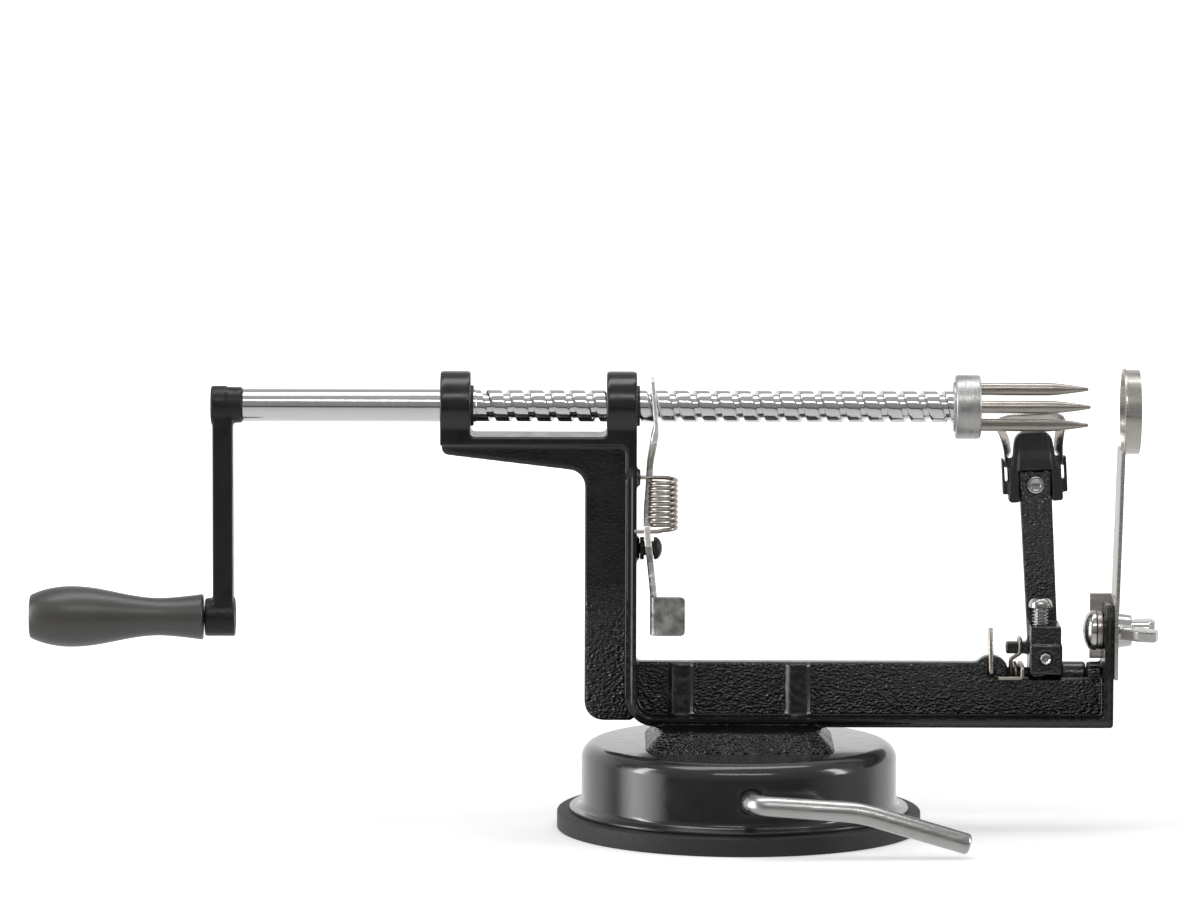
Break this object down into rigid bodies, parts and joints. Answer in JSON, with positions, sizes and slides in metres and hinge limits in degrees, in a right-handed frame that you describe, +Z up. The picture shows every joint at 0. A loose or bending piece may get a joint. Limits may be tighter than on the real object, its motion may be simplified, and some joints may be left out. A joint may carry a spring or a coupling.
{
  "type": "apple peeler",
  "caption": "Hand-cranked apple peeler, corer and slicer: a threaded spindle with a fork feeds the apple past a sprung peeling arm to a coring ring, on a suction base",
  "frame": {"origin": "centre of the suction pad's underside, on the table", "axes": "+X along the screw from the crank to the corer, +Y away from the working side, +Z up"},
  "size_m": [0.3054, 0.1022, 0.1256],
  "materials": {
    "hammered_enamel": "black hammered enamel",
    "gloss_enamel": "gloss black enamel",
    "crank_enamel": "satin black enamel",
    "bush_black": "black, plain",
    "polished_steel": "polished",
    "dark_steel": "blackened",
    "grip_plastic": "matt black",
    "hub_metal": "brushed and scuffed",
    "stainless": "satin stainless",
    "nickel_plate": "nickel plated",
    "spring_wire": "drawn wire",
    "zinc_screw": "bright zinc",
    "holder_black": "satin black",
    "pad_rubber": "matt rubber",
    "lever_steel": "satin steel"
  },
  "bodies": {
    "body": {"frame_casting": "hammered_enamel", "suction_dome": "gloss_enamel", "suction_pad": "pad_rubber", "base_screws": "zinc_screw", "release_stud": "dark_steel", "release_spring": "spring_wire", "arm_pivot_rod": "dark_steel", "arm_spring": "spring_wire", "corer_blade": "stainless", "clamp_bolt": "zinc_screw", "clamp_washer": "dark_steel"},
    "bushes": {"bush_left": "bush_black", "bush_right": "bush_black"},
    "spindle": {"drive_screw": "polished_steel", "crank_arm": "crank_enamel", "handle_pin": "dark_steel", "fork_hub": "hub_metal", "fork_prongs": "stainless"},
    "grip": {"handle_grip": "grip_plastic"},
    "release": {"release_plate": "nickel_plate"},
    "arm": {"peeler_arm": "hammered_enamel", "depth_screw": "zinc_screw", "arm_lock_screw": "zinc_screw", "blade_holder": "holder_black", "peeling_blade": "stainless", "blade_screw": "zinc_screw"},
    "latch": {"latch_wire": "spring_wire"},
    "lever": {"suction_lever": "lever_steel"},
    "stem": {"pad_stem": "dark_steel"},
    "wing": {"wing_nut": "zinc_screw"}
  },
  "joints": [
    {"name": "crank_turn", "type": "hinge", "parent": "body", "child": "bushes", "pos_m": [0, 0, 0.115], "axis": [1, 0, 0], "range_deg": [-4320, 2700]},
    {"name": "screw_feed", "type": "slide", "parent": "bushes", "child": "spindle", "axis": [1, 0, 0], "range_m": [-0.0673, 0.0421]},
    {"name": "grip_spin", "type": "hinge", "parent": "spindle", "child": "grip", "pos_m": [-0.17, 0, 0.0572], "axis": [1, 0, 0], "continuous": true},
    {"name": "release_swing", "type": "hinge", "parent": "body", "child": "release", "pos_m": [-0.0248, 0, 0.0763], "axis": [1, 0, 0], "range_deg": [0, 5], "deforming": ["release_spring"]},
    {"name": "arm_swing", "type": "hinge", "parent": "body", "child": "arm", "pos_m": [0.083, 0.0065, 0.0412], "axis": [-1, 0, 0], "range_deg": [0, 60], "deforming": ["arm_spring"]},
    {"name": "latch_turn", "type": "hinge", "parent": "body", "child": "latch", "pos_m": [0.0682, 0, 0.0428], "axis": [0, 1, 0], "range_deg": [-60, 25]},
    {"name": "suction_turn", "type": "hinge", "parent": "body", "child": "lever", "pos_m": [0.0025, -0.0427, 0.0139], "axis": [0, -1, 0], "range_deg": [0, 180]},
    {"name": "stem_lift", "type": "slide", "parent": "body", "child": "stem", "axis": [0, 0, 1], "range_m": [0, 0.004], "deforming": ["suction_pad"]},
    {"name": "wing_turn", "type": "hinge", "parent": "body", "child": "wing", "pos_m": [0.105, 0, 0.0542], "axis": [1, 0, 0], "continuous": true}
  ],
  "couplings": [
    {"joint": "screw_feed", "follows": "crank_turn", "m_per_rad": 0.00089127},
    {"joint": "stem_lift", "follows": "suction_turn", "m_per_rad": 0.0012732}
  ]
}
